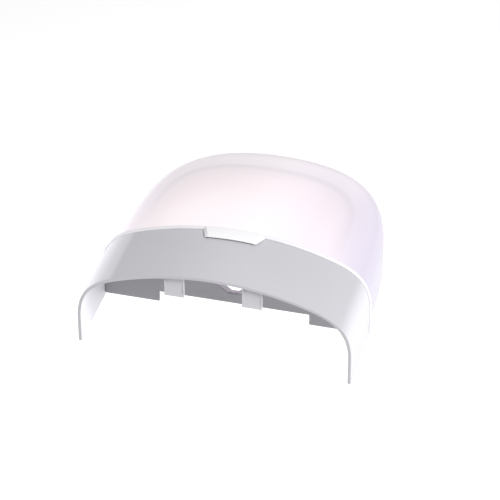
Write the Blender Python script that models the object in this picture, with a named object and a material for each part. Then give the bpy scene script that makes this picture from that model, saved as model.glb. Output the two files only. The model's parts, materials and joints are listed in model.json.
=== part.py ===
"""Light cover of a garage door opener: arched collar, swinging lens, latch and snap clips.

Units are metres and +Z is up. The cover stands on the ends of its legs. X runs across the
cover and +Y runs from the open mouth of the collar to the end of the lens. In the functions
below y = 0 is the mouth; the empty light_cover then centres the model on the origin.
"""
import math

import bmesh
import bpy

# Collar
COLLAR_WIDTH = 0.2500
COLLAR_HEIGHT = 0.0900
COLLAR_DEPTH = 0.0733
COLLAR_WALL = 0.00275
LEG_HEIGHT = 0.0268

# Arch: a shallow crown arc between two creases, then a rounded corner down to each leg
CROWN_RADIUS = 0.2675
CREASE_X = 0.0908
CORNER_WEIGHT = 1.125

# Raised ring around the root of the lens
SURROUND_PROUD = 0.0015
SURROUND_DEPTH = 0.0040

# Lens
LENS_LENGTH = 0.1775
LENS_INSET = 0.0040
LENS_WALL = 0.0024
PLAN_EXPONENT = 3.46
CREST_LENGTH = 0.1298
CREST_EXPONENT = 4.5
CREST_DROP = 0.0125
NOSE_WEIGHT = 3.0
SPINE_SHARE = 0.55

# Cross rail
RAIL_THICKNESS = 0.00275
RAIL_BOTTOM = 0.0029
RAIL_TOP = 0.0380
NOTCH_WIDTH = 0.1405
NOTCH_HEIGHT = 0.0110
LATCH_BOTTOM = 0.0239
LATCH_BOTTOM_WIDTH = 0.0110
LATCH_TOP_WIDTH = 0.0460
LATCH_FRAME_WIDTH = 0.0040
LATCH_FRAME_DEPTH = 0.0039

# Lens hinge
HINGE_HEIGHT = 0.0072
PIN_RADIUS = 0.0022
PIN_HEAD_RADIUS = 0.0036
PIN_HEAD_THICKNESS = 0.0015
EAR_RADIUS = 0.0055
EAR_THICKNESS = 0.0030
PIVOT_RADIUS = 0.0050
PIVOT_LENGTH = 0.0031

# Release tab and latch
TAB_ROOT_WIDTH = 0.0578
TAB_TIP_WIDTH = 0.0470
TAB_REACH = 0.0128
TAB_THICKNESS = 0.0026
TAB_LIFT = 0.0013
PLUNGER_WIDTH = 0.0080
PLUNGER_THICKNESS = 0.0020
PLUNGER_SETBACK = 0.0058
PLUNGER_DROP = 0.0046
SLOT_MARGIN = 0.0007
TONGUE_WIDTH = 0.0200
TONGUE_THICKNESS = 0.0020
TONGUE_REACH = 0.0080
TONGUE_HOLD = 0.0060
CATCH_HEIGHT = 0.0013
CATCH_LENGTH = 0.0030

# Snap clips
CLIP_WIDTH = 0.0180
CLIP_SPACING = 0.0705
CLIP_THICKNESS = 0.0020
CLIP_BOTTOM = 0.0648
CLIP_SETBACK = 0.00275
CLIP_FOOT_REACH = 0.0013
CLIP_FOOT_HEIGHT = 0.0022

# Clearances
MATING_GAP = 0.0003
SWING_GAP = 0.0008
CLIP_GAP = 0.0005
TONGUE_GAP = 0.0005

# Facets
CORNER_STEPS = 10
CROWN_STEPS = 10
PLAN_STEPS = 20
HEEL_STEPS = 4
ROUND_STEPS = 24

# Derived sizes
HALF_WIDTH = COLLAR_WIDTH / 2
CROWN_RISE = COLLAR_HEIGHT - LEG_HEIGHT
LENS_ROOT = COLLAR_DEPTH + SWING_GAP
HINGE_Y = LENS_ROOT + HINGE_HEIGHT
TOTAL_LENGTH = LENS_ROOT + LENS_LENGTH
LENS_SIDE = HALF_WIDTH - LENS_INSET
LENS_SIDE_INNER = LENS_SIDE - LENS_WALL
PIVOT_OUTER = LENS_SIDE_INNER - MATING_GAP
PIVOT_INNER = PIVOT_OUTER - PIVOT_LENGTH
EAR_OUTER = PIVOT_INNER - MATING_GAP
EAR_INNER = EAR_OUTER - EAR_THICKNESS
PIN_HOLE_RADIUS = PIN_RADIUS + MATING_GAP
TAB_PIVOT_Z = COLLAR_HEIGHT + TAB_LIFT + TAB_THICKNESS / 2
TONGUE_TOP = COLLAR_HEIGHT - LENS_INSET - LENS_WALL - TONGUE_GAP
PLUNGER_TOP = COLLAR_HEIGHT + TAB_LIFT - MATING_GAP
PLUNGER_Y = COLLAR_DEPTH - PLUNGER_SETBACK


def clear_scene():
    """Remove whatever the file holds."""
    for item in list(bpy.data.objects):
        bpy.data.objects.remove(item, do_unlink=True)


def make_material(name, color, roughness, transmission=0.0):
    """Return a plastic material."""
    material = bpy.data.materials.new(name)
    material.use_nodes = True
    shader = material.node_tree.nodes["Principled BSDF"]
    shader.inputs["Base Color"].default_value = (*color, 1.0)
    shader.inputs["Roughness"].default_value = roughness
    shader.inputs["Metallic"].default_value = 0.0
    shader.inputs["Transmission Weight"].default_value = transmission
    return material


def crown_rise(x):
    """Return the crown arc's height above the legs at x, between the creases."""
    return CROWN_RISE - CROWN_RADIUS + math.sqrt(CROWN_RADIUS ** 2 - x ** 2)


def corner(start, handle, end, weight):
    """Return the points of a rounded corner: a conic from start to end, pulled to its handle."""
    points = []
    for step in range(CORNER_STEPS + 1):
        share = step / CORNER_STEPS
        parts = ((1 - share) ** 2, 2 * weight * share * (1 - share), share ** 2)
        whole = sum(parts)
        knots = zip(start, handle, end)
        points.append([sum(p * k for p, k in zip(parts, knot)) / whole for knot in knots])
    return points


def half_arch():
    """Return the (x, rise) points of the arch's right half, from the leg up to the middle."""
    slope = CREASE_X / math.sqrt(CROWN_RADIUS ** 2 - CREASE_X ** 2)
    crease = crown_rise(CREASE_X)
    handle = crease - slope * (HALF_WIDTH - CREASE_X)
    points = corner((HALF_WIDTH, 0.0), (HALF_WIDTH, handle), (CREASE_X, crease), CORNER_WEIGHT)
    for step in range(1, CROWN_STEPS + 1):
        x = CREASE_X * (1 - step / CROWN_STEPS)
        points.append([x, crown_rise(x)])
    return points


def arch(offset=0.0):
    """Return the (x, z) points of the cover's arch from the right foot to the left foot.

    offset moves the arch inward.
    """
    widen = (HALF_WIDTH - offset) / HALF_WIDTH
    raise_by = (CROWN_RISE - offset) / CROWN_RISE
    half = [(x * widen, LEG_HEIGHT + rise * raise_by) for x, rise in half_arch()]
    half.insert(0, (HALF_WIDTH - offset, 0.0))
    return half + [(-x, z) for x, z in reversed(half[:-1])]


def crossing(points, known, value):
    """Return where a line of points first passes a value of one coordinate (0 or 1)."""
    for one, two in zip(points, points[1:]):
        low, high = sorted((one[known], two[known]))
        if low <= value <= high and low < high:
            share = (value - one[known]) / (two[known] - one[known])
            return one[1 - known] + share * (two[1 - known] - one[1 - known])
    raise ValueError("the arch doesn't reach this value")


def arch_height(x, offset=0.0):
    """Return the height of the arch's crown at x."""
    return crossing(arch(offset)[1:], 0, abs(x))


def arch_side(z, offset=0.0):
    """Return the half width of the arch at height z."""
    return crossing(arch(offset), 1, z)


def finish_object(name, bm, material, parent, origin=(0.0, 0.0, 0.0)):
    """Turn a bmesh into a named object whose origin is at the given point."""
    bmesh.ops.remove_doubles(bm, verts=bm.verts, dist=1e-6)
    bmesh.ops.dissolve_degenerate(bm, edges=bm.edges, dist=1e-7)
    bmesh.ops.recalc_face_normals(bm, faces=bm.faces)
    bmesh.ops.translate(bm, verts=bm.verts, vec=[-value for value in origin])
    mesh = bpy.data.meshes.new(name)
    bm.to_mesh(mesh)
    bm.free()
    mesh.materials.append(material)
    mesh.shade_smooth()
    mesh.set_sharp_from_angle(angle=math.radians(30))
    item = bpy.data.objects.new(name, mesh)
    bpy.context.collection.objects.link(item)
    item.parent = parent
    item.location = origin
    return item


def shell_bmesh(outer, inner):
    """Return a closed shell between two grids of points that have the same rows and columns.

    A last row that folds back on itself, as at the lens's nose, gets no end face.
    """
    bm = bmesh.new()
    rows = len(outer)
    columns = len(outer[0])
    skin = [[bm.verts.new(point) for point in row] for row in outer]
    lining = [[bm.verts.new(point) for point in row] for row in inner]
    for row in range(rows - 1):
        for column in range(columns - 1):
            for grid in (skin, lining):
                bm.faces.new((grid[row][column], grid[row][column + 1],
                              grid[row + 1][column + 1], grid[row + 1][column]))
        for column in (0, columns - 1):
            bm.faces.new((skin[row][column], lining[row][column],
                          lining[row + 1][column], skin[row + 1][column]))
    ends = [0]
    if outer[-1][0] != outer[-1][-1]:
        ends.append(rows - 1)
    for row in ends:
        for column in range(columns - 1):
            bm.faces.new((skin[row][column], lining[row][column],
                          lining[row][column + 1], skin[row][column + 1]))
    return bm


def arch_grid(stations, offset):
    """Return the same arch at each y station."""
    return [[(x, y, z) for x, z in arch(offset)] for y in stations]


def prism_bmesh(outline, low, high, axis):
    """Return an outline extruded along an axis; outline gives the other two axes in order."""
    bm = bmesh.new()
    rings = []
    for level in (low, high):
        ring = []
        for first, second in outline:
            point = [first, second]
            point.insert("XYZ".index(axis), level)
            ring.append(bm.verts.new(point))
        rings.append(ring)
    count = len(outline)
    bm.faces.new(rings[0])
    bm.faces.new(rings[1])
    for index in range(count):
        after = (index + 1) % count
        bm.faces.new((rings[0][index], rings[0][after], rings[1][after], rings[1][index]))
    return bm


def circle(center, radius):
    """Return a round outline."""
    points = []
    for step in range(ROUND_STEPS):
        angle = math.tau * step / ROUND_STEPS
        points.append((center[0] + radius * math.cos(angle), center[1] + radius * math.sin(angle)))
    return points


def box_outline(low, high):
    """Return a rectangle between two corners."""
    return [(low[0], low[1]), (high[0], low[1]), (high[0], high[1]), (low[0], high[1])]


def boolean(target, name, bm, parent, operation="DIFFERENCE", origin=(0.0, 0.0, 0.0)):
    """Cut a bmesh out of an object, or join it on, and leave the second shape hidden."""
    cutter = finish_object(name, bm, target.data.materials[0], parent, origin)
    cutter.hide_render = True
    cutter.display_type = "WIRE"
    modifier = target.modifiers.new(name, "BOOLEAN")
    modifier.operation = operation
    modifier.solver = "EXACT"
    modifier.object = cutter


def make_collar_shell(material, parent):
    """Arched shell with a slot in its crown for the release tab's plunger."""
    stations = (0.0, COLLAR_DEPTH)
    bm = shell_bmesh(arch_grid(stations, 0.0), arch_grid(stations, COLLAR_WALL))
    shell = finish_object("collar_shell", bm, material, parent)
    half_x = PLUNGER_WIDTH / 2 + SLOT_MARGIN
    half_y = PLUNGER_THICKNESS / 2 + SLOT_MARGIN
    outline = box_outline((-half_x, PLUNGER_Y - half_y), (half_x, PLUNGER_Y + half_y))
    low = COLLAR_HEIGHT - 2 * COLLAR_WALL
    high = COLLAR_HEIGHT + COLLAR_WALL
    boolean(shell, "plunger_slot", prism_bmesh(outline, low, high, "Z"), parent)


def make_cross_rail(material, parent):
    """Low wall across the far end, with a wide notch below and a framed latch notch above."""
    foot = HALF_WIDTH - COLLAR_WALL - MATING_GAP
    shoulder = arch_side(RAIL_TOP, COLLAR_WALL) - MATING_GAP
    notch = NOTCH_WIDTH / 2
    notch_top = RAIL_BOTTOM + NOTCH_HEIGHT
    mouth = LATCH_TOP_WIDTH / 2
    sill = LATCH_BOTTOM_WIDTH / 2
    half = [(notch, notch_top), (notch, RAIL_BOTTOM), (foot, RAIL_BOTTOM), (foot, LEG_HEIGHT)]
    half += [(shoulder, RAIL_TOP), (mouth, RAIL_TOP), (sill, LATCH_BOTTOM)]
    outline = half + [(-x, z) for x, z in reversed(half)]
    front = COLLAR_DEPTH - RAIL_THICKNESS
    bm = prism_bmesh(outline, front, COLLAR_DEPTH, "Y")
    rail = finish_object("cross_rail", bm, material, parent)

    inside = [(mouth, RAIL_TOP), (sill, LATCH_BOTTOM)]
    outside = [(x + LATCH_FRAME_WIDTH, z) for x, z in inside]
    outside[1] = (outside[1][0], LATCH_BOTTOM - LATCH_FRAME_WIDTH)
    half = list(reversed(outside)) + inside
    outline = half + [(-x, z) for x, z in reversed(half)]
    middle = COLLAR_DEPTH - RAIL_THICKNESS / 2
    bm = prism_bmesh(outline, middle, COLLAR_DEPTH + LATCH_FRAME_DEPTH, "Y")
    boolean(rail, "latch_frame", bm, parent, "UNION")


def make_lens_surround(material, parent):
    """Raised ring between the collar and the lens."""
    front = COLLAR_DEPTH + MATING_GAP
    stations = (front, front + SURROUND_DEPTH)
    outer = arch_grid(stations, -SURROUND_PROUD)
    inner = arch_grid(stations, LENS_INSET - SWING_GAP)
    finish_object("lens_surround", shell_bmesh(outer, inner), material, parent)


def lens_hoop(turn, offset):
    """Return one hoop of the lens, from its right foot over the middle to its left foot.

    turn runs from zero at the root to a quarter turn at the nose. offset is zero for the outer
    skin and the wall for the lining.
    """
    inset = LENS_INSET + offset
    widen = (HALF_WIDTH - inset) / HALF_WIDTH
    raise_by = (CROWN_RISE - inset) / CROWN_RISE
    across = math.cos(turn) if turn < math.pi / 2 else 0.0
    along = math.sin(turn)
    foot_x = (HALF_WIDTH - inset) * across ** (2 / PLAN_EXPONENT)
    foot_y = (LENS_LENGTH - offset) * along ** (2 / PLAN_EXPONENT)
    bend = CREASE_X * across ** (2 / CREST_EXPONENT)
    crest_y = CREST_LENGTH * along ** (2 / CREST_EXPONENT)
    crest = raise_by * crown_rise(bend) - CREST_DROP * (crest_y / CREST_LENGTH) ** 2
    slope_x = raise_by / widen * bend / math.sqrt(CROWN_RADIUS ** 2 - bend ** 2)
    slope_y = 2 * CREST_DROP * crest_y / CREST_LENGTH ** 2
    handle = crest - slope_x * (foot_x - bend * widen) - slope_y * (foot_y - crest_y)
    weight = CORNER_WEIGHT + (NOSE_WEIGHT - CORNER_WEIGHT) * along ** 2
    rib = corner((foot_x, foot_y, 0.0), (foot_x, foot_y, handle), (bend * widen, crest_y, crest), weight)
    for step in range(1, CROWN_STEPS + 1):
        share = 1 - step / CROWN_STEPS
        x = bend * share
        y = crest_y * (SPINE_SHARE + (1 - SPINE_SHARE) * share)
        rib.append([x * widen, y, raise_by * crown_rise(x) - CREST_DROP * (y / CREST_LENGTH) ** 2])
    rib.insert(0, [foot_x, foot_y, lens_heel(foot_y) - LEG_HEIGHT])
    rib = [(x, LENS_ROOT + y, LEG_HEIGHT + z) for x, y, z in rib]
    return rib + [(-x, y, z) for x, y, z in reversed(rib[:-1])]


def lens_heel(y):
    """Return the height of the lens's lower edge, which is rounded about the hinge."""
    reach = max(HINGE_HEIGHT - y, 0.0)
    return HINGE_HEIGHT - math.sqrt(HINGE_HEIGHT ** 2 - reach ** 2)


def lens_grid(offset):
    """Return the lens's hoops from the root to the nose."""
    turns = []
    for step in range(HEEL_STEPS + 1):
        y = HINGE_HEIGHT * (1 - math.cos(math.pi / 2 * step / HEEL_STEPS))
        turns.append(math.asin((y / LENS_LENGTH) ** (PLAN_EXPONENT / 2)))
    for step in range(1, PLAN_STEPS):
        slant = math.tan(math.pi / 2 * step / PLAN_STEPS)
        turns.append(math.atan(slant ** (PLAN_EXPONENT / 2)))
    turns.append(math.pi / 2)
    return [lens_hoop(turn, offset) for turn in turns]


def make_lens_dome(material, parent):
    """Hollow lens, open at its root and bottom, rounded at its lower corners to swing."""
    origin = (0.0, HINGE_Y, HINGE_HEIGHT)
    lens = finish_object("lens_dome", shell_bmesh(lens_grid(0.0), lens_grid(LENS_WALL)),
                         material, parent, origin)
    outline = circle((HINGE_Y, HINGE_HEIGHT), PIN_HOLE_RADIUS)
    bore = prism_bmesh(outline, -2 * HALF_WIDTH, 2 * HALF_WIDTH, "X")
    boolean(lens, "lens_pin_bore", bore, parent, origin=origin)


def tube_bmesh(radius, hole, low, high):
    """Return a tube about the lens's hinge axis."""
    outer = circle((HINGE_Y, HINGE_HEIGHT), radius)
    inner = circle((HINGE_Y, HINGE_HEIGHT), hole)
    bm = bmesh.new()
    rings = []
    for outline in (outer, inner):
        for level in (low, high):
            rings.append([bm.verts.new((level, y, z)) for y, z in outline])
    for index in range(ROUND_STEPS):
        after = (index + 1) % ROUND_STEPS
        for one, two in ((0, 1), (1, 3), (3, 2), (2, 0)):
            bm.faces.new((rings[one][index], rings[one][after], rings[two][after], rings[two][index]))
    return bm


def make_lens_pivot(side, name, material, parent):
    """Boss on the lining of the lens's side wall, around the hinge pin."""
    levels = sorted((side * PIVOT_INNER, side * PIVOT_OUTER))
    origin = (0.0, HINGE_Y, HINGE_HEIGHT)
    bm = tube_bmesh(PIVOT_RADIUS, PIN_HOLE_RADIUS, *levels)
    finish_object(name, bm, material, parent, origin)


def make_hinge_ear(side, name, material, parent):
    """Ear behind the cross rail that carries a hinge pin."""
    front = COLLAR_DEPTH + MATING_GAP
    outline = [(front, HINGE_HEIGHT - EAR_RADIUS)]
    for step in range(ROUND_STEPS // 2 + 1):
        angle = -math.pi / 2 + math.tau * step / ROUND_STEPS
        y = HINGE_Y + EAR_RADIUS * math.cos(angle)
        z = HINGE_HEIGHT + EAR_RADIUS * math.sin(angle)
        outline.append((y, z))
    outline.append((front, HINGE_HEIGHT + EAR_RADIUS))
    levels = sorted((side * EAR_INNER, side * EAR_OUTER))
    ear = finish_object(name, prism_bmesh(outline, *levels, "X"), material, parent)
    bore = prism_bmesh(circle((HINGE_Y, HINGE_HEIGHT), PIN_HOLE_RADIUS),
                       levels[0] - EAR_THICKNESS, levels[1] + EAR_THICKNESS, "X")
    boolean(ear, name + "_bore", bore, parent)


def make_hinge_pin(side, name, material, parent):
    """Headed pin through an ear, a pivot boss and the lens's side wall."""
    head = EAR_INNER - MATING_GAP
    stations = [(head - PIN_HEAD_THICKNESS, PIN_HEAD_RADIUS), (head, PIN_HEAD_RADIUS)]
    stations += [(head, PIN_RADIUS), (LENS_SIDE - MATING_GAP, PIN_RADIUS)]
    bm = bmesh.new()
    rings = []
    for level, radius in stations:
        outline = circle((HINGE_Y, HINGE_HEIGHT), radius)
        rings.append([bm.verts.new((side * level, y, z)) for y, z in outline])
    for one, two in zip(rings, rings[1:]):
        for index in range(ROUND_STEPS):
            after = (index + 1) % ROUND_STEPS
            bm.faces.new((one[index], one[after], two[after], two[index]))
    bm.faces.new(rings[0])
    bm.faces.new(rings[-1])
    finish_object(name, bm, material, parent)


def make_latch_tongue(material, parent):
    """Tongue under the lens's crown, with a low catch at its front end."""
    front = LENS_ROOT - TONGUE_REACH
    back = LENS_ROOT + TONGUE_HOLD
    low = TONGUE_TOP - TONGUE_THICKNESS
    outline = [(front, low), (back, low), (back, TONGUE_TOP)]
    outline += [(front + 2 * CATCH_LENGTH, TONGUE_TOP)]
    outline += [(front + CATCH_LENGTH, TONGUE_TOP + CATCH_HEIGHT)]
    outline += [(front + CATCH_LENGTH / 3, TONGUE_TOP + CATCH_HEIGHT), (front, TONGUE_TOP)]
    bm = prism_bmesh(outline, -TONGUE_WIDTH / 2, TONGUE_WIDTH / 2, "X")
    finish_object("latch_tongue", bm, material, parent, (0.0, HINGE_Y, HINGE_HEIGHT))


def make_release_tab(material, parent):
    """Raised tab over the collar's crown; it tips about its rear edge."""
    columns = 12
    rows = 3
    surfaces = []
    for level in (TAB_LIFT + TAB_THICKNESS, TAB_LIFT):
        grid = []
        for row in range(rows + 1):
            share = row / rows
            half = (TAB_ROOT_WIDTH + share * (TAB_TIP_WIDTH - TAB_ROOT_WIDTH)) / 2
            y = COLLAR_DEPTH - share * TAB_REACH
            line = []
            for column in range(columns + 1):
                x = half * (1 - 2 * column / columns)
                line.append((x, y, arch_height(x) + level))
            grid.append(line)
        surfaces.append(grid)
    finish_object("release_tab", shell_bmesh(*surfaces), material, parent,
                  (0.0, COLLAR_DEPTH, TAB_PIVOT_Z))


def make_tab_plunger(material, parent):
    """Foot under the release tab, in the crown's slot above the lens's catch."""
    half_x = PLUNGER_WIDTH / 2
    half_y = PLUNGER_THICKNESS / 2
    outline = box_outline((-half_x, PLUNGER_Y - half_y), (half_x, PLUNGER_Y + half_y))
    bm = prism_bmesh(outline, PLUNGER_TOP - PLUNGER_DROP, PLUNGER_TOP, "Z")
    finish_object("tab_plunger", bm, material, parent, (0.0, COLLAR_DEPTH, TAB_PIVOT_Z))


def make_snap_clip(side, name, material, parent):
    """Flat clip that hangs from the crown, with a foot that snaps over the opener's edge."""
    back = CLIP_SETBACK + CLIP_THICKNESS
    foot = CLIP_SETBACK - CLIP_FOOT_REACH
    bm = bmesh.new()
    rings = []
    for edge in (-1, 1):
        x = side * CLIP_SPACING / 2 + edge * CLIP_WIDTH / 2
        top = arch_height(x, COLLAR_WALL) - CLIP_GAP
        outline = [(foot, CLIP_BOTTOM), (back, CLIP_BOTTOM), (back, top), (CLIP_SETBACK, top)]
        outline += [(CLIP_SETBACK, CLIP_BOTTOM + 2 * CLIP_FOOT_HEIGHT)]
        outline += [(foot, CLIP_BOTTOM + CLIP_FOOT_HEIGHT)]
        rings.append([bm.verts.new((x, y, z)) for y, z in outline])
    count = len(rings[0])
    for ring in rings:
        bm.faces.new(ring)
    for index in range(count):
        after = (index + 1) % count
        bm.faces.new((rings[0][index], rings[0][after], rings[1][after], rings[1][index]))
    pivot = arch_height(CLIP_SPACING / 2, COLLAR_WALL) - CLIP_GAP
    origin = (side * CLIP_SPACING / 2, CLIP_SETBACK + CLIP_THICKNESS / 2, pivot)
    finish_object(name, bm, material, parent, origin)


def main():
    clear_scene()
    cover = bpy.data.objects.new("light_cover", None)
    bpy.context.collection.objects.link(cover)
    cover.location = (0.0, -TOTAL_LENGTH / 2, 0.0)

    grey = make_material("collar_grey", (0.52, 0.52, 0.55), 0.45)
    white = make_material("surround_white", (0.86, 0.86, 0.88), 0.40)
    lens_white = make_material("lens_white", (0.93, 0.91, 0.93), 0.30, 0.4)
    clip_grey = make_material("clip_grey", (0.60, 0.60, 0.63), 0.45)
    pin_grey = make_material("pin_grey", (0.55, 0.55, 0.57), 0.35)

    make_collar_shell(grey, cover)
    make_cross_rail(grey, cover)
    make_lens_surround(white, cover)
    make_lens_dome(lens_white, cover)
    make_latch_tongue(lens_white, cover)
    make_release_tab(white, cover)
    make_tab_plunger(white, cover)
    for side, word in ((-1, "left"), (1, "right")):
        make_snap_clip(side, "snap_clip_" + word, clip_grey, cover)
        make_hinge_ear(side, "hinge_ear_" + word, grey, cover)
        make_hinge_pin(side, "hinge_pin_" + word, pin_grey, cover)
        make_lens_pivot(side, "lens_pivot_" + word, lens_white, cover)


main()
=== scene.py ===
"""Looks of the garage door opener light cover, built round its CAD frame.

Units are metres. X runs across the cover, +Y from the collar's mouth to the lens's nose, +Z up.
"""
import json
import math

import bmesh
import bpy
from mathutils import Matrix, Vector


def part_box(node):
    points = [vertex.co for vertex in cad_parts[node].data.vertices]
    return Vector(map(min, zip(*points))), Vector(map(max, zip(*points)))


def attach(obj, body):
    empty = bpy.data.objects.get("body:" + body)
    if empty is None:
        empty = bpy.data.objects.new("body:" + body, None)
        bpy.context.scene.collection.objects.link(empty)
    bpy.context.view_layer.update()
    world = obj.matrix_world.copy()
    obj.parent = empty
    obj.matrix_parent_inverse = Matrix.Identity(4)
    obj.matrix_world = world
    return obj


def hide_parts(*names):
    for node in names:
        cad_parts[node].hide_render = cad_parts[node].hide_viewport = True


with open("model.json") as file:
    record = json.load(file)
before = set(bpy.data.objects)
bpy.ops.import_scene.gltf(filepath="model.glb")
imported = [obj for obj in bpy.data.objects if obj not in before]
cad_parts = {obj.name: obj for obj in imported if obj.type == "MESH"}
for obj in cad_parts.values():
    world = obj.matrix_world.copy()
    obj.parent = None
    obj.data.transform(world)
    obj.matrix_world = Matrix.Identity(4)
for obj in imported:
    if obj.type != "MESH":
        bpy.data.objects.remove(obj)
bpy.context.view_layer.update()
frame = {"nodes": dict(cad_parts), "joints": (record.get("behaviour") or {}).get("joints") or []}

# ---------------------------------------------------------------- sizes from the frame
COLLAR_LOW, COLLAR_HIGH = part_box("collar_shell")
RAIL_LOW, RAIL_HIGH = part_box("cross_rail")
RING_LOW, RING_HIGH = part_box("lens_surround")
LENS_LOW, LENS_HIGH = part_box("lens_dome")
TAB_LOW, TAB_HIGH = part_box("release_tab")
PLUNGER_LOW, PLUNGER_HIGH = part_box("tab_plunger")
JOINTS = {joint["name"]: joint for joint in frame["joints"]}
HINGE = Vector(JOINTS["lens_swing"]["pos_m"])

HALF_WIDTH = COLLAR_HIGH.x
HEIGHT = COLLAR_HIGH.z
MOUTH_Y = COLLAR_LOW.y
COLLAR_END = COLLAR_HIGH.y
LENS_ROOT = LENS_LOW.y
LENS_LENGTH = LENS_HIGH.y - LENS_LOW.y
LENS_INSET = HALF_WIDTH - LENS_HIGH.x
RING_PROUD = RING_HIGH.x - HALF_WIDTH

# ---------------------------------------------------------------- sizes shared with the CAD model
WALL = 0.00275
LEG_HEIGHT = 0.0268
CROWN_RADIUS = 0.2675
CREASE_X = 0.0908
CORNER_WEIGHT = 1.125
LENS_WALL = 0.0024
PLAN_EXPONENT = 3.46
CREST_LENGTH = 0.1298
CREST_EXPONENT = 4.5
CREST_DROP = 0.0125
NOSE_WEIGHT = 3.0
SPINE_SHARE = 0.55
CROWN_RISE = HEIGHT - LEG_HEIGHT

NOTCH_HALF = 0.07025
NOTCH_TOP = 0.0139
LATCH_BOTTOM = 0.0239
LATCH_SILL_HALF = 0.0055
LATCH_MOUTH_HALF = 0.0230
LATCH_FRAME_WIDTH = 0.0040

TAB_LIFT = 0.0013
TAB_THICKNESS = 0.0026
TAB_ROOT_HALF = 0.0289
TAB_TIP_HALF = 0.0235
CLIP_THICKNESS = 0.0020
CLIP_FOOT_HEIGHT = 0.0022

PIN_RADIUS = 0.0022
PIN_HEAD_RADIUS = 0.0036
PIN_HEAD_THICKNESS = 0.0015
BORE_RADIUS = 0.0025
PIVOT_RADIUS = 0.0050

MATING_GAP = 0.0003
SWING_GAP = 0.0008
CLIP_GAP = 0.0005
SLOT_MARGIN = 0.0007
SLOT_HALF_X = PLUNGER_HIGH.x + SLOT_MARGIN
SLOT_HALF_Y = (PLUNGER_HIGH.y - PLUNGER_LOW.y) / 2 + SLOT_MARGIN
SLOT_Y = (PLUNGER_HIGH.y + PLUNGER_LOW.y) / 2

# ---------------------------------------------------------------- sizes of the looks only
SHARP_ANGLE = math.radians(35)
SHELL_EDGE = 0.0006
PLATE_EDGE = 0.0004
LENS_EDGE = 0.0005
RING_EDGE = 0.0010
TAB_EDGE = 0.0005
SMALL_EDGE = 0.0003
LATCH_DRAFT = 0.0022
TAB_FRONT_THICKNESS = 0.0006
TAB_GAP = 0.0003
TAB_SWEEP = 0.0700
TAB_FLANK = 0.0030
TAB_FACET = 0.0042
RIB_WIDTH = 0.0013
RIB_HEIGHT = 0.0006
RIB_GAP = 0.0008
PIN_TIP_CHAMFER = 0.0005
PIVOT_CHAMFER = 0.0004
BORE_OVERRUN = 0.001

# ---------------------------------------------------------------- fineness
CORNER_STEPS = 28
CROWN_STEPS = 24
PLAN_STEPS = 64
HEEL_STEPS = 8
ROUND_STEPS = 64
COLLAR_ROWS = 10
TAB_ROWS = 6
TAB_COLUMNS = 32
CLIP_COLUMNS = 8


# ---------------------------------------------------------------- shapes
def crown_rise(x):
    """Height of the crown arc above the legs at x."""
    return CROWN_RISE - CROWN_RADIUS + math.sqrt(CROWN_RADIUS ** 2 - x ** 2)


def corner(start, handle, end, weight):
    """Points of a rounded corner: a conic from start to end, pulled to its handle."""
    points = []
    for step in range(CORNER_STEPS + 1):
        share = step / CORNER_STEPS
        parts = ((1 - share) ** 2, 2 * weight * share * (1 - share), share ** 2)
        knots = zip(start, handle, end)
        points.append([sum(p * k for p, k in zip(parts, knot)) / sum(parts) for knot in knots])
    return points


def half_arch():
    """The (x, rise) points of the arch's right half, from the leg up to the middle."""
    slope = CREASE_X / math.sqrt(CROWN_RADIUS ** 2 - CREASE_X ** 2)
    crease = crown_rise(CREASE_X)
    handle = crease - slope * (HALF_WIDTH - CREASE_X)
    points = corner((HALF_WIDTH, 0.0), (HALF_WIDTH, handle), (CREASE_X, crease), CORNER_WEIGHT)
    for step in range(1, CROWN_STEPS + 1):
        x = CREASE_X * (1 - step / CROWN_STEPS)
        points.append([x, crown_rise(x)])
    return points


def arch(offset=0.0):
    """The (x, z) points of the arch, right foot to left foot, moved inward by offset."""
    widen = (HALF_WIDTH - offset) / HALF_WIDTH
    lift = (CROWN_RISE - offset) / CROWN_RISE
    half = [(x * widen, LEG_HEIGHT + rise * lift) for x, rise in half_arch()]
    half.insert(0, (HALF_WIDTH - offset, 0.0))
    return half + [(-x, z) for x, z in reversed(half[:-1])]


def arch_height(x, offset=0.0):
    """Height of the arch at x, between the creases."""
    widen = (HALF_WIDTH - offset) / HALF_WIDTH
    lift = (CROWN_RISE - offset) / CROWN_RISE
    return LEG_HEIGHT + lift * crown_rise(abs(x) / widen)


def lens_heel(y):
    """Height of the lens's lower edge, which is rounded about the hinge."""
    reach = max(HINGE.z - y, 0.0)
    return HINGE.z - math.sqrt(HINGE.z ** 2 - reach ** 2)


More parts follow.
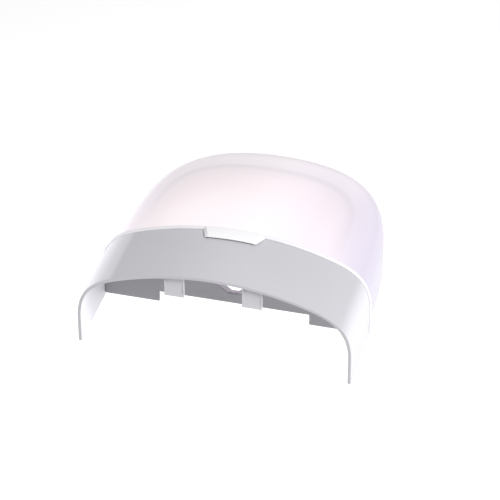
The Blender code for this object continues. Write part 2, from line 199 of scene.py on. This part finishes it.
def lens_hoop(turn, offset):
    """One hoop of the lens, right foot to left foot; turn is a quarter turn at the nose."""
    inset = LENS_INSET + offset
    widen = (HALF_WIDTH - inset) / HALF_WIDTH
    lift = (CROWN_RISE - inset) / CROWN_RISE
    across = math.cos(turn) if turn < math.pi / 2 else 0.0
    along = math.sin(turn)
    foot_x = (HALF_WIDTH - inset) * across ** (2 / PLAN_EXPONENT)
    foot_y = (LENS_LENGTH - offset) * along ** (2 / PLAN_EXPONENT)
    bend = CREASE_X * across ** (2 / CREST_EXPONENT)
    crest_y = CREST_LENGTH * along ** (2 / CREST_EXPONENT)
    crest = lift * crown_rise(bend) - CREST_DROP * (crest_y / CREST_LENGTH) ** 2
    slope_x = lift / widen * bend / math.sqrt(CROWN_RADIUS ** 2 - bend ** 2)
    slope_y = 2 * CREST_DROP * crest_y / CREST_LENGTH ** 2
    handle = crest - slope_x * (foot_x - bend * widen) - slope_y * (foot_y - crest_y)
    weight = CORNER_WEIGHT + (NOSE_WEIGHT - CORNER_WEIGHT) * along ** 2
    rib = corner((foot_x, foot_y, 0.0), (foot_x, foot_y, handle), (bend * widen, crest_y, crest), weight)
    for step in range(1, CROWN_STEPS + 1):
        share = 1 - step / CROWN_STEPS
        x = bend * share
        y = crest_y * (SPINE_SHARE + (1 - SPINE_SHARE) * share)
        rib.append([x * widen, y, lift * crown_rise(x) - CREST_DROP * (y / CREST_LENGTH) ** 2])
    rib.insert(0, [foot_x, foot_y, lens_heel(foot_y) - LEG_HEIGHT])
    rib = [(x, LENS_ROOT + y, LEG_HEIGHT + z) for x, y, z in rib]
    return rib + [(-x, y, z) for x, y, z in reversed(rib[:-1])]


def lens_grid(offset):
    """The lens's hoops from the root to the nose."""
    turns = []
    for step in range(HEEL_STEPS + 1):
        y = HINGE.z * (1 - math.cos(math.pi / 2 * step / HEEL_STEPS))
        turns.append(math.asin((y / LENS_LENGTH) ** (PLAN_EXPONENT / 2)))
    for step in range(2, PLAN_STEPS):
        slant = math.tan(math.pi / 2 * step / PLAN_STEPS)
        turns.append(math.atan(slant ** (PLAN_EXPONENT / 2)))
    turns.append(math.pi / 2)
    return [lens_hoop(turn, offset) for turn in turns]


# ---------------------------------------------------------------- mesh helpers
def add_piece(name, bm, material, body, nodes):
    """Turn a bmesh into a smooth piece that rides on a body and stands for CAD nodes, if any."""
    bmesh.ops.remove_doubles(bm, verts=bm.verts, dist=1e-6)
    bmesh.ops.dissolve_degenerate(bm, edges=bm.edges, dist=1e-7)
    bmesh.ops.recalc_face_normals(bm, faces=bm.faces)
    mesh = bpy.data.meshes.new(name)
    bm.to_mesh(mesh)
    bm.free()
    mesh.materials.append(material)
    mesh.shade_smooth()
    mesh.set_sharp_from_angle(angle=SHARP_ANGLE)
    piece = bpy.data.objects.new(name, mesh)
    bpy.context.scene.collection.objects.link(piece)
    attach(piece, body)
    if nodes:
        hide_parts(*nodes)
    return piece


def settle(piece):
    """Make a piece's modifiers part of its mesh."""
    bpy.context.view_layer.update()
    graph = bpy.context.evaluated_depsgraph_get()
    mesh = bpy.data.meshes.new_from_object(piece.evaluated_get(graph))
    piece.modifiers.clear()
    piece.data = mesh
    mesh.shade_smooth()
    mesh.set_sharp_from_angle(angle=SHARP_ANGLE)


def cut_out(target, name, bm):
    """Cut a bmesh out of a piece and throw the cutter away."""
    bmesh.ops.recalc_face_normals(bm, faces=bm.faces)
    mesh = bpy.data.meshes.new(name)
    bm.to_mesh(mesh)
    bm.free()
    cutter = bpy.data.objects.new(name, mesh)
    bpy.context.scene.collection.objects.link(cutter)
    modifier = target.modifiers.new(name, "BOOLEAN")
    modifier.operation = "DIFFERENCE"
    modifier.solver = "EXACT"
    modifier.object = cutter
    settle(target)
    bpy.data.objects.remove(cutter, do_unlink=True)
    bpy.data.meshes.remove(mesh)


def soften(piece, radius, segments=3):
    """Round a piece's sharp edges."""
    modifier = piece.modifiers.new("edges", "BEVEL")
    modifier.width = radius
    modifier.segments = segments
    modifier.limit_method = "ANGLE"
    modifier.angle_limit = SHARP_ANGLE
    modifier.use_clamp_overlap = True


def shell_bmesh(outer, inner):
    """Closed shell between two grids; a last row that folds on itself gets no end face."""
    bm = bmesh.new()
    rows = len(outer)
    columns = len(outer[0])
    skin = [[bm.verts.new(point) for point in row] for row in outer]
    lining = [[bm.verts.new(point) for point in row] for row in inner]
    for row in range(rows - 1):
        for column in range(columns - 1):
            for grid in (skin, lining):
                bm.faces.new((grid[row][column], grid[row][column + 1],
                              grid[row + 1][column + 1], grid[row + 1][column]))
        for column in (0, columns - 1):
            bm.faces.new((skin[row][column], lining[row][column],
                          lining[row + 1][column], skin[row + 1][column]))
    ends = [0]
    if outer[-1][0] != outer[-1][-1]:
        ends.append(rows - 1)
    for row in ends:
        for column in range(columns - 1):
            bm.faces.new((skin[row][column], lining[row][column],
                          lining[row][column + 1], skin[row][column + 1]))
    return bm


def arch_grid(stations, offset):
    """The same arch at each y station."""
    return [[(x, y, z) for x, z in arch(offset)] for y in stations]


def steps(low, high, count):
    """Evenly spaced values from low to high."""
    return [low + (high - low) * step / count for step in range(count + 1)]


def prism_bmesh(outline, low, high, axis):
    """An outline extruded along an axis; the outline gives the other two axes in order."""
    bm = bmesh.new()
    rings = []
    for level in (low, high):
        ring = []
        for first, second in outline:
            point = [first, second]
            point.insert("XYZ".index(axis), level)
            ring.append(bm.verts.new(point))
        rings.append(ring)
    count = len(outline)
    bm.faces.new(rings[0])
    bm.faces.new(rings[1])
    for index in range(count):
        after = (index + 1) % count
        bm.faces.new((rings[0][index], rings[0][after], rings[1][after], rings[1][index]))
    return bm


def turned_bmesh(stations, center, capped):
    """A solid turned about a line along X; stations are (x, radius) pairs; capped closes its ends."""
    bm = bmesh.new()
    rings = []
    for x, radius in stations:
        ring = []
        for step in range(ROUND_STEPS):
            angle = math.tau * step / ROUND_STEPS
            ring.append(bm.verts.new((x, center.y + radius * math.cos(angle),
                                      center.z + radius * math.sin(angle))))
        rings.append(ring)
    for one, two in zip(rings, rings[1:]):
        for index in range(ROUND_STEPS):
            after = (index + 1) % ROUND_STEPS
            bm.faces.new((one[index], one[after], two[after], two[index]))
    if capped:
        bm.faces.new(rings[0])
        bm.faces.new(rings[-1])
    return bm


# ---------------------------------------------------------------- materials
def srgb(value):
    """A linear level for an sRGB level from 0 to 255."""
    level = value / 255
    return level / 12.92 if level <= 0.04045 else ((level + 0.055) / 1.055) ** 2.4


def tone(red, green, blue):
    """A linear colour for sRGB levels from 0 to 255."""
    return (srgb(red), srgb(green), srgb(blue), 1.0)


# Tints and painted light and shade as (place, colour) stops. ROOT and CREST run outward from the crown's
# middle, where 1.0 is the line at which the lens turns down; SIDE and WALL run along X. ROOT is the lens's
# pink blush;
# CREST adds painted shade, a grey band where the crown turns down, and painted light beyond that band; SIDE
# is painted shade, darker and lavender towards the lens's right side; WALL is painted highlight on the
# collar's side walls.
ROOT_BANDS = [(0.0, tone(250, 245, 246)), (0.90, tone(249, 243, 244)), (1.05, tone(248, 244, 245)),
              (1.40, tone(248, 246, 249))]
# Pink blush over the crown, then painted shade in a grey band from 0.92 to 1.0 and painted light paler
# beyond it.
CREST_BLUSH_AND_SHADE_BANDS = [(0.0, tone(250, 244, 245)), (0.80, tone(249, 241, 243)), (0.92, tone(246, 240, 242)),
               (1.0, tone(237, 233, 236)), (1.06, tone(248, 244, 247)), (1.20, tone(255, 252, 254)),
               (1.40, tone(255, 252, 255))]
# Painted shade: the lens darker and more lavender towards its right side, paler on its left.
SIDE_SHADE_BANDS = [(-0.121, tone(253, 252, 255)), (-0.07, tone(255, 255, 255)), (0.0, tone(246, 246, 246)),
              (0.07, tone(235, 234, 238)), (0.121, tone(206, 205, 217))]
# Painted highlight: the collar's side walls and its left corner paler than its grey crown.
WALL_HIGHLIGHT_BANDS = [(-0.127, tone(255, 255, 255)), (-0.114, tone(255, 255, 255)), (-0.097, tone(231, 231, 231)),
              (-CREASE_X, tone(210, 210, 210)), (0.112, tone(206, 206, 206)), (0.1252, tone(247, 247, 247)),
              (0.127, tone(255, 255, 255))]
# Where the lens's painted crest shade fades in, measured from the root.
LENS_FADE_START = 0.010
LENS_FADE_END = 0.110
# Where the collar's painted wall highlight fades in, measured behind the mouth's rim.
RIM_FADE_START = 0.0004
RIM_FADE_END = 0.0012


def moulded_plastic(name, low, high, roughness, grain=0.12, grain_scale=900.0, extra=None):
    """Moulded plastic: a soft drift of colour and a fine grain in its gloss and its surface."""
    material = bpy.data.materials.new(name)
    material.use_nodes = True
    nodes = material.node_tree.nodes
    links = material.node_tree.links
    shader = nodes["Principled BSDF"]
    place = nodes.new("ShaderNodeTexCoord")

    drift = nodes.new("ShaderNodeTexNoise")
    drift.inputs["Scale"].default_value = 9.0
    drift.inputs["Detail"].default_value = 3.0
    links.new(place.outputs["Object"], drift.inputs["Vector"])
    colours = nodes.new("ShaderNodeValToRGB")
    colours.color_ramp.elements[0].position = 0.30
    colours.color_ramp.elements[0].color = low
    colours.color_ramp.elements[1].position = 0.70
    colours.color_ramp.elements[1].color = high
    links.new(drift.outputs["Fac"], colours.inputs["Fac"])
    base = colours.outputs["Color"]
    if extra:
        base = extra(nodes, links, place, base)
    links.new(base, shader.inputs["Base Color"])

    speckle = nodes.new("ShaderNodeTexNoise")
    speckle.inputs["Scale"].default_value = grain_scale
    speckle.inputs["Detail"].default_value = 2.0
    links.new(place.outputs["Object"], speckle.inputs["Vector"])
    polish = nodes.new("ShaderNodeMapRange")
    polish.inputs["From Min"].default_value = 0.3
    polish.inputs["From Max"].default_value = 0.7
    polish.inputs["To Min"].default_value = roughness - 0.05
    polish.inputs["To Max"].default_value = roughness + 0.07
    links.new(speckle.outputs["Fac"], polish.inputs["Value"])
    links.new(polish.outputs["Result"], shader.inputs["Roughness"])
    bump = nodes.new("ShaderNodeBump")
    bump.inputs["Strength"].default_value = grain
    bump.inputs["Distance"].default_value = 0.00012
    links.new(speckle.outputs["Fac"], bump.inputs["Height"])
    links.new(bump.outputs["Normal"], shader.inputs["Normal"])
    shader.inputs["IOR"].default_value = 1.49
    return material


def multiply(nodes, links, one, two):
    """The product of two colours."""
    mix = nodes.new("ShaderNodeMix")
    mix.data_type = "RGBA"
    mix.blend_type = "MULTIPLY"
    mix.inputs["Factor"].default_value = 1.0
    links.new(one, mix.inputs[6])
    links.new(two, mix.inputs[7])
    return mix.outputs[2]


def math_node(nodes, links, operation, one, two):
    """A math node; either input may be a socket or a plain number."""
    node = nodes.new("ShaderNodeMath")
    node.operation = operation
    for index, value in enumerate((one, two)):
        if isinstance(value, (int, float)):
            node.inputs[index].default_value = value
        else:
            links.new(value, node.inputs[index])
    return node.outputs["Value"]


def colour_ramp(nodes, links, value, stops):
    """A smooth colour ramp over a value; stops are (value, colour) pairs in order."""
    low, high = stops[0][0], stops[-1][0]
    spread = nodes.new("ShaderNodeMapRange")
    spread.inputs["From Min"].default_value = low
    spread.inputs["From Max"].default_value = high
    links.new(value, spread.inputs["Value"])
    ramp = nodes.new("ShaderNodeValToRGB")
    ramp.color_ramp.interpolation = "EASE"
    for index, (at, colour) in enumerate(stops):
        share = (at - low) / (high - low)
        if index == 0:
            element = ramp.color_ramp.elements[0]
            element.position = share
        elif index == len(stops) - 1:
            element = ramp.color_ramp.elements[-1]
            element.position = share
        else:
            element = ramp.color_ramp.elements.new(share)
        element.color = colour
    links.new(spread.outputs["Result"], ramp.inputs["Fac"])
    return ramp.outputs["Color"]


def lens_blush_and_painted_shade(nodes, links, place, base):
    """The lens's pink blush over the crown, with painted shade: a soft grey band where the crown turns down
    that fades in from the root, painted light paler beyond that band, and painted shade darker and lavender
    over the right side."""
    split = nodes.new("ShaderNodeSeparateXYZ")
    links.new(place.outputs["Object"], split.inputs["Vector"])
    side = math_node(nodes, links, "ABSOLUTE", split.outputs["X"], 0.0)
    side = math_node(nodes, links, "DIVIDE", side, CREASE_X)
    side = math_node(nodes, links, "POWER", side, CREST_EXPONENT)
    along = math_node(nodes, links, "SUBTRACT", split.outputs["Y"], LENS_ROOT)
    along = math_node(nodes, links, "MAXIMUM", along, 0.0)
    along = math_node(nodes, links, "DIVIDE", along, CREST_LENGTH)
    along = math_node(nodes, links, "POWER", along, CREST_EXPONENT)
    reach = math_node(nodes, links, "ADD", side, along)
    reach = math_node(nodes, links, "POWER", reach, 1 / CREST_EXPONENT)
    fade = nodes.new("ShaderNodeMapRange")
    fade.inputs["From Min"].default_value = LENS_ROOT + LENS_FADE_START
    fade.inputs["From Max"].default_value = LENS_ROOT + LENS_FADE_END
    links.new(split.outputs["Y"], fade.inputs["Value"])
    bands = nodes.new("ShaderNodeMix")
    bands.data_type = "RGBA"
    links.new(fade.outputs["Result"], bands.inputs["Factor"])
    links.new(colour_ramp(nodes, links, reach, ROOT_BANDS), bands.inputs[6])
    links.new(colour_ramp(nodes, links, reach, CREST_BLUSH_AND_SHADE_BANDS), bands.inputs[7])
    bands = bands.outputs[2]
    across = colour_ramp(nodes, links, split.outputs["X"], SIDE_SHADE_BANDS)
    return multiply(nodes, links, multiply(nodes, links, base, bands), across)


def collar_painted_highlight(nodes, links, place, base):
    """The collar's grey plastic with painted highlight making the side walls paler; the crown and the
    mouth's rim stay grey.
    """
    split = nodes.new("ShaderNodeSeparateXYZ")
    links.new(place.outputs["Object"], split.inputs["Vector"])
    rim = nodes.new("ShaderNodeMapRange")
    rim.inputs["From Min"].default_value = MOUTH_Y + RIM_FADE_START
    rim.inputs["From Max"].default_value = MOUTH_Y + RIM_FADE_END
    links.new(split.outputs["Y"], rim.inputs["Value"])
    side = math_node(nodes, links, "MULTIPLY", split.outputs["X"], rim.outputs["Result"])
    return multiply(nodes, links, base, colour_ramp(nodes, links, side, WALL_HIGHLIGHT_BANDS))


# The collar's grey plastic, with painted highlight on its side walls from its tint.
COLLAR_GREY_PAINTED_HIGHLIGHT = moulded_plastic("collar_grey_plastic_painted_highlight", tone(216, 215, 221), tone(221, 220, 226), 0.42,
                              extra=collar_painted_highlight)
EAR_GREY = moulded_plastic("ear_grey_plastic", tone(182, 181, 187), tone(187, 186, 192), 0.42)
# Painted light: the latch frame uses the rail's plastic made lighter where light reaches it.
FRAME_PAINTED_LIGHT_GREY = moulded_plastic("frame_painted_light_plastic", tone(178, 177, 182), tone(184, 183, 188), 0.44)
# Painted shade: the rail is the collar's plastic made darker for the shade under the crown.
RAIL_PAINTED_SHADE_GREY = moulded_plastic("rail_painted_shade_plastic", tone(146, 145, 150), tone(153, 152, 157), 0.46)
RING_WHITE = moulded_plastic("ring_white_plastic", tone(214, 213, 217), tone(218, 217, 220), 0.34)
TAB_WHITE = moulded_plastic("tab_white_plastic", tone(219, 218, 220), tone(223, 222, 224), 0.36)
CLIP_GREY = moulded_plastic("clip_grey_plastic", tone(184, 183, 188), tone(190, 189, 194), 0.44)
PIN_GREY = moulded_plastic("pin_grey_plastic", tone(180, 180, 184), tone(190, 190, 194), 0.30)
# White lens plastic with a pink blush, plus painted shade and painted light from its tint.
LENS_WHITE_PAINTED_SHADE = moulded_plastic("lens_white_plastic_painted_shade", tone(247, 243, 246), tone(250, 246, 249), 0.30,
                             grain=0.03, grain_scale=1600.0, extra=lens_blush_and_painted_shade)
for input_name, value in (("IOR", 1.45), ("Coat Weight", 0.25), ("Coat Roughness", 0.12)):
    LENS_WHITE_PAINTED_SHADE.node_tree.nodes["Principled BSDF"].inputs[input_name].default_value = value


# ---------------------------------------------------------------- collar
def make_collar():
    """Arched shell with the plunger's slot in its crown and softened rims."""
    stations = steps(MOUTH_Y, COLLAR_END, COLLAR_ROWS)
    shell = add_piece("collar_skin", shell_bmesh(arch_grid(stations, 0.0), arch_grid(stations, WALL)),
                      COLLAR_GREY_PAINTED_HIGHLIGHT, "collar", ("collar_shell",))
    outline = [(-SLOT_HALF_X, SLOT_Y - SLOT_HALF_Y), (SLOT_HALF_X, SLOT_Y - SLOT_HALF_Y),
               (SLOT_HALF_X, SLOT_Y + SLOT_HALF_Y), (-SLOT_HALF_X, SLOT_Y + SLOT_HALF_Y)]
    cut_out(shell, "slot_cutter", prism_bmesh(outline, HEIGHT - 3 * WALL, HEIGHT + WALL, "Z"))
    soften(shell, SHELL_EDGE)


# ---------------------------------------------------------------- cross rail
def make_rail():
    """Rail across the far end with the notch below and the framed latch notch above."""
    foot = RAIL_HIGH.x
    low = RAIL_LOW.z
    top = RAIL_HIGH.z
    shoulder = HALF_WIDTH
    for x, z in arch(WALL):
        if x > 0 and z <= top:
            shoulder = min(shoulder, x)
    shoulder -= MATING_GAP
    half = [(NOTCH_HALF, NOTCH_TOP), (NOTCH_HALF, low), (foot, low), (foot, LEG_HEIGHT),
            (shoulder, top), (LATCH_MOUTH_HALF, top), (LATCH_SILL_HALF, LATCH_BOTTOM)]
    outline = half + [(-x, z) for x, z in reversed(half)]
    front = COLLAR_END - WALL
    rail = add_piece("rail_wall", prism_bmesh(outline, front, COLLAR_END, "Y"), RAIL_PAINTED_SHADE_GREY, "collar",
                     ("cross_rail",))
    soften(rail, PLATE_EDGE)

    inside = [(LATCH_MOUTH_HALF, top), (LATCH_SILL_HALF, LATCH_BOTTOM)]
    outside = [(LATCH_MOUTH_HALF + LATCH_FRAME_WIDTH, top),
               (LATCH_SILL_HALF + LATCH_FRAME_WIDTH, LATCH_BOTTOM - LATCH_FRAME_WIDTH)]
    half = list(reversed(outside)) + inside
    outline = half + [(-x, z) for x, z in reversed(half)]
    bm = prism_bmesh(outline, COLLAR_END - WALL / 2, RAIL_HIGH.y, "Y")
    for vert in bm.verts:
        outer_end = vert.co.y > COLLAR_END
        inner_side = (abs(vert.co.x) < LATCH_MOUTH_HALF + LATCH_FRAME_WIDTH / 2
                      and vert.co.z > LATCH_BOTTOM - LATCH_FRAME_WIDTH / 2)
        if outer_end and inner_side:
            vert.co.x -= math.copysign(LATCH_DRAFT, vert.co.x)
    rim = add_piece("rail_latch_frame", bm, FRAME_PAINTED_LIGHT_GREY, "collar", ())
    soften(rim, PLATE_EDGE)


# ---------------------------------------------------------------- ring and lens
def make_ring():
    """Raised ring round the lens's root with rounded shoulders."""
    stations = (RING_LOW.y, RING_HIGH.y)
    outer = arch_grid(stations, -RING_PROUD)
    inner = arch_grid(stations, LENS_INSET - SWING_GAP)
    ring = add_piece("lens_ring", shell_bmesh(outer, inner), RING_WHITE, "collar",
                     ("lens_surround",))
    soften(ring, RING_EDGE, 4)


def make_lens():
    """Hollow lens on its two pivots."""
    lens = add_piece("lens_skin", shell_bmesh(lens_grid(0.0), lens_grid(LENS_WALL)),
                     LENS_WHITE_PAINTED_SHADE, "lens", ("lens_dome",))
    soften(lens, LENS_EDGE)


# ---------------------------------------------------------------- release tab and clips
def make_tab():
    """Raised tab that follows the crown, with a slanted front facet and softened edges."""
    reach = TAB_HIGH.y - TAB_LOW.y
    shares = steps(0.0, 1.0 - TAB_FACET / reach, TAB_ROWS) + [1.0]
    tops = [TAB_LIFT + TAB_THICKNESS] * (TAB_ROWS + 1) + [TAB_LIFT + TAB_FRONT_THICKNESS]
    skirts = [TAB_GAP + share * reach * TAB_SWEEP for share in shares]
    surfaces = []
    for levels, flank in ((tops, TAB_FLANK), (skirts, 0.0)):
        grid = []
        for share, level in zip(shares, levels):
            half = TAB_ROOT_HALF + share * (TAB_TIP_HALF - TAB_ROOT_HALF) - flank
            line = []
            for column in range(TAB_COLUMNS + 1):
                x = half * (1 - 2 * column / TAB_COLUMNS)
                line.append((x, TAB_HIGH.y - share * reach, arch_height(x) + level))
            grid.append(line)
        surfaces.append(grid)
    tab = add_piece("tab_plate", shell_bmesh(*surfaces), TAB_WHITE, "release_tab", ("release_tab",))
    soften(tab, TAB_EDGE, 4)


def make_clip(word):
    """Flat clip with raised side ribs and a wedge foot."""
    low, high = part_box("snap_clip_" + word)
    back = high.y
    face = back - CLIP_THICKNESS
    foot_top = low.z + 2 * CLIP_FOOT_HEIGHT
    bm = bmesh.new()
    rings = []
    for x in steps(low.x, high.x, CLIP_COLUMNS):
        top = arch_height(x, WALL) - CLIP_GAP
        outline = [(low.y, low.z), (back, low.z), (back, top), (face, top),
                   (face, foot_top), (low.y, low.z + CLIP_FOOT_HEIGHT)]
        rings.append([bm.verts.new((x, y, z)) for y, z in outline])
    for ring in (rings[0], rings[-1]):
        bm.faces.new(ring)
    count = len(rings[0])
    for one, two in zip(rings, rings[1:]):
        for index in range(count):
            after = (index + 1) % count
            bm.faces.new((one[index], one[after], two[after], two[index]))
    clip = add_piece("clip_plate_" + word, bm, CLIP_GREY, "clip_" + word, ("snap_clip_" + word,))
    soften(clip, PLATE_EDGE)
    for side, start in (("outer", low.x), ("inner", high.x - RIB_WIDTH)):
        top = min(arch_height(start, WALL), arch_height(start + RIB_WIDTH, WALL)) - RIB_GAP
        outline = [(start, face - RIB_HEIGHT), (start + RIB_WIDTH, face - RIB_HEIGHT),
                   (start + RIB_WIDTH, face + RIB_HEIGHT), (start, face + RIB_HEIGHT)]
        rib = add_piece("clip_rib_" + word + "_" + side,
                        prism_bmesh(outline, foot_top, top, "Z"),
                        CLIP_GREY, "clip_" + word, ())
        soften(rib, SMALL_EDGE)


# ---------------------------------------------------------------- hinge parts
def make_pin(side, word):
    """Headed pin with a domed head and a chamfered tip."""
    low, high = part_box("hinge_pin_" + word)
    inner, outer = (low.x, high.x) if side > 0 else (high.x, low.x)
    head = PIN_HEAD_RADIUS
    depth = PIN_HEAD_THICKNESS
    stations = [(inner, head * 0.55), (inner + side * depth * 0.25, head * 0.86),
                (inner + side * depth * 0.6, head), (inner + side * depth, head),
                (inner + side * depth, PIN_RADIUS), (outer - side * PIN_TIP_CHAMFER, PIN_RADIUS),
                (outer, PIN_RADIUS * 0.75)]
    add_piece("pin_" + word, turned_bmesh(stations, HINGE, True), PIN_GREY, "collar",
              ("hinge_pin_" + word,))


def make_pivot(word):
    """Boss inside the lens's side wall, bored for the pin."""
    low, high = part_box("lens_pivot_" + word)
    outer, hole, ease = PIVOT_RADIUS, BORE_RADIUS, PIVOT_CHAMFER
    stations = [(low.x, hole + ease), (low.x, outer - ease), (low.x + ease, outer),
                (high.x - ease, outer), (high.x, outer - ease), (high.x, hole + ease),
                (high.x - ease, hole), (low.x + ease, hole), (low.x, hole + ease)]
    add_piece("pivot_boss_" + word, turned_bmesh(stations, HINGE, False), LENS_WHITE_PAINTED_SHADE, "lens",
              ("lens_pivot_" + word,))


def make_ear(word):
    """Ear with a rounded end, bored for the pin."""
    low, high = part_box("hinge_ear_" + word)
    radius = (high.z - low.z) / 2
    outline = [(low.y, low.z)]
    for step in range(ROUND_STEPS // 2 + 1):
        angle = -math.pi / 2 + math.tau * step / ROUND_STEPS
        outline.append((HINGE.y + radius * math.cos(angle), HINGE.z + radius * math.sin(angle)))
    outline.append((low.y, high.z))
    ear = add_piece("ear_" + word, prism_bmesh(outline, low.x, high.x, "X"), EAR_GREY, "collar",
                    ("hinge_ear_" + word,))
    bore = []
    for step in range(ROUND_STEPS):
        angle = math.tau * step / ROUND_STEPS
        bore.append((HINGE.y + BORE_RADIUS * math.cos(angle), HINGE.z + BORE_RADIUS * math.sin(angle)))
    cut_out(ear, "ear_bore", prism_bmesh(bore, low.x - BORE_OVERRUN, high.x + BORE_OVERRUN, "X"))
    soften(ear, SMALL_EDGE)


def copy_node(node, name, material, body, radius):
    """A copy of a CAD node with softened edges and the given material."""
    source = frame["nodes"][node]
    bm = bmesh.new()
    bm.from_mesh(source.data)
    piece = add_piece(name, bm, material, body, (node,))
    soften(piece, radius)


make_collar()
make_rail()
make_ring()
make_lens()
make_tab()
for sign, word in ((-1, "left"), (1, "right")):
    make_clip(word)
    make_pin(sign, word)
    make_pivot(word)
    make_ear(word)
copy_node("tab_plunger", "plunger_foot", TAB_WHITE, "release_tab", SMALL_EDGE)
copy_node("latch_tongue", "tongue_catch", LENS_WHITE_PAINTED_SHADE, "lens", SMALL_EDGE)


# ---------------------------------------------------------------- studio
FLOOR_Z = -1.20
FLOOR_SIZE = 14.0
MIDDLE = Vector((0.0, 0.0, 0.05))


def studio_plane(name, size, location, material):
    """A flat square of the studio."""
    bm = bmesh.new()
    bmesh.ops.create_grid(bm, x_segments=1, y_segments=1, size=size / 2)
    mesh = bpy.data.meshes.new(name)
    bm.to_mesh(mesh)
    bm.free()
    mesh.materials.append(material)
    plane = bpy.data.objects.new(name, mesh)
    plane.location = location
    bpy.context.scene.collection.objects.link(plane)


def soft_light(name, location, size, power):
    """A square white area light aimed at the middle of the cover."""
    data = bpy.data.lights.new(name, "AREA")
    data.shape = "SQUARE"
    data.size = size
    data.energy = power
    lamp = bpy.data.objects.new(name, data)
    lamp.location = location
    lamp.rotation_mode = "QUATERNION"
    lamp.rotation_quaternion = (MIDDLE - Vector(location)).to_track_quat("-Z", "Y")
    lamp.visible_camera = False
    bpy.context.scene.collection.objects.link(lamp)


pale = bpy.data.materials.new("studio_floor")
pale.use_nodes = True
for input_name, value in (("Base Color", (0.95, 0.95, 0.95, 1.0)), ("Roughness", 0.9),
                          ("Specular IOR Level", 0.0), ("Emission Color", (1.0, 1.0, 1.0, 1.0)),
                          ("Emission Strength", 0.45)):
    pale.node_tree.nodes["Principled BSDF"].inputs[input_name].default_value = value
studio_plane("floor", FLOOR_SIZE, (0.0, 0.0, FLOOR_Z), pale)

world = bpy.data.worlds.new("studio_world")
bpy.context.scene.world = world
world.use_nodes = True
backdrop = world.node_tree.nodes["Background"]
backdrop.inputs["Color"].default_value = (1.0, 1.0, 1.0, 1.0)
backdrop.inputs["Strength"].default_value = 0.35

soft_light("key_right", (1.2, -0.9, 1.85), 1.0, 67.0)
soft_light("back_fill", (-0.5, 1.8, 1.3), 1.4, 4.5)
soft_light("low_right", (1.6, 0.1, -0.60), 0.8, 5.0)
soft_light("low_left", (-1.6, 0.0, -0.42), 0.8, 40.0)

# ---------------------------------------------------------------- camera
AZIMUTH = math.radians(14.85)
ELEVATION = math.radians(35.84)
ROLL = math.radians(-0.09)
CAMERA_PLACE = (0.4989, -1.8788, 1.4387)
view_data = bpy.data.cameras.new("view_camera")
view_data.lens = 188.2
view_data.sensor_width = 36.0
view_data.clip_start = 0.05
view_data.clip_end = 60.0
view_data.dof.use_dof = False
camera = bpy.data.objects.new("view_camera", view_data)
right = Vector((math.cos(AZIMUTH), math.sin(AZIMUTH), 0.0))
behind = Vector((math.sin(AZIMUTH) * math.cos(ELEVATION), -math.cos(AZIMUTH) * math.cos(ELEVATION),
                 math.sin(ELEVATION)))
upward = behind.cross(right)
turn = Matrix((right, upward, behind)).transposed().to_4x4() @ Matrix.Rotation(ROLL, 4, "Z")
camera.matrix_world = Matrix.Translation(CAMERA_PLACE) @ turn
bpy.context.scene.collection.objects.link(camera)
bpy.context.scene.camera = camera
bpy.context.scene.view_settings.view_transform = "Standard"
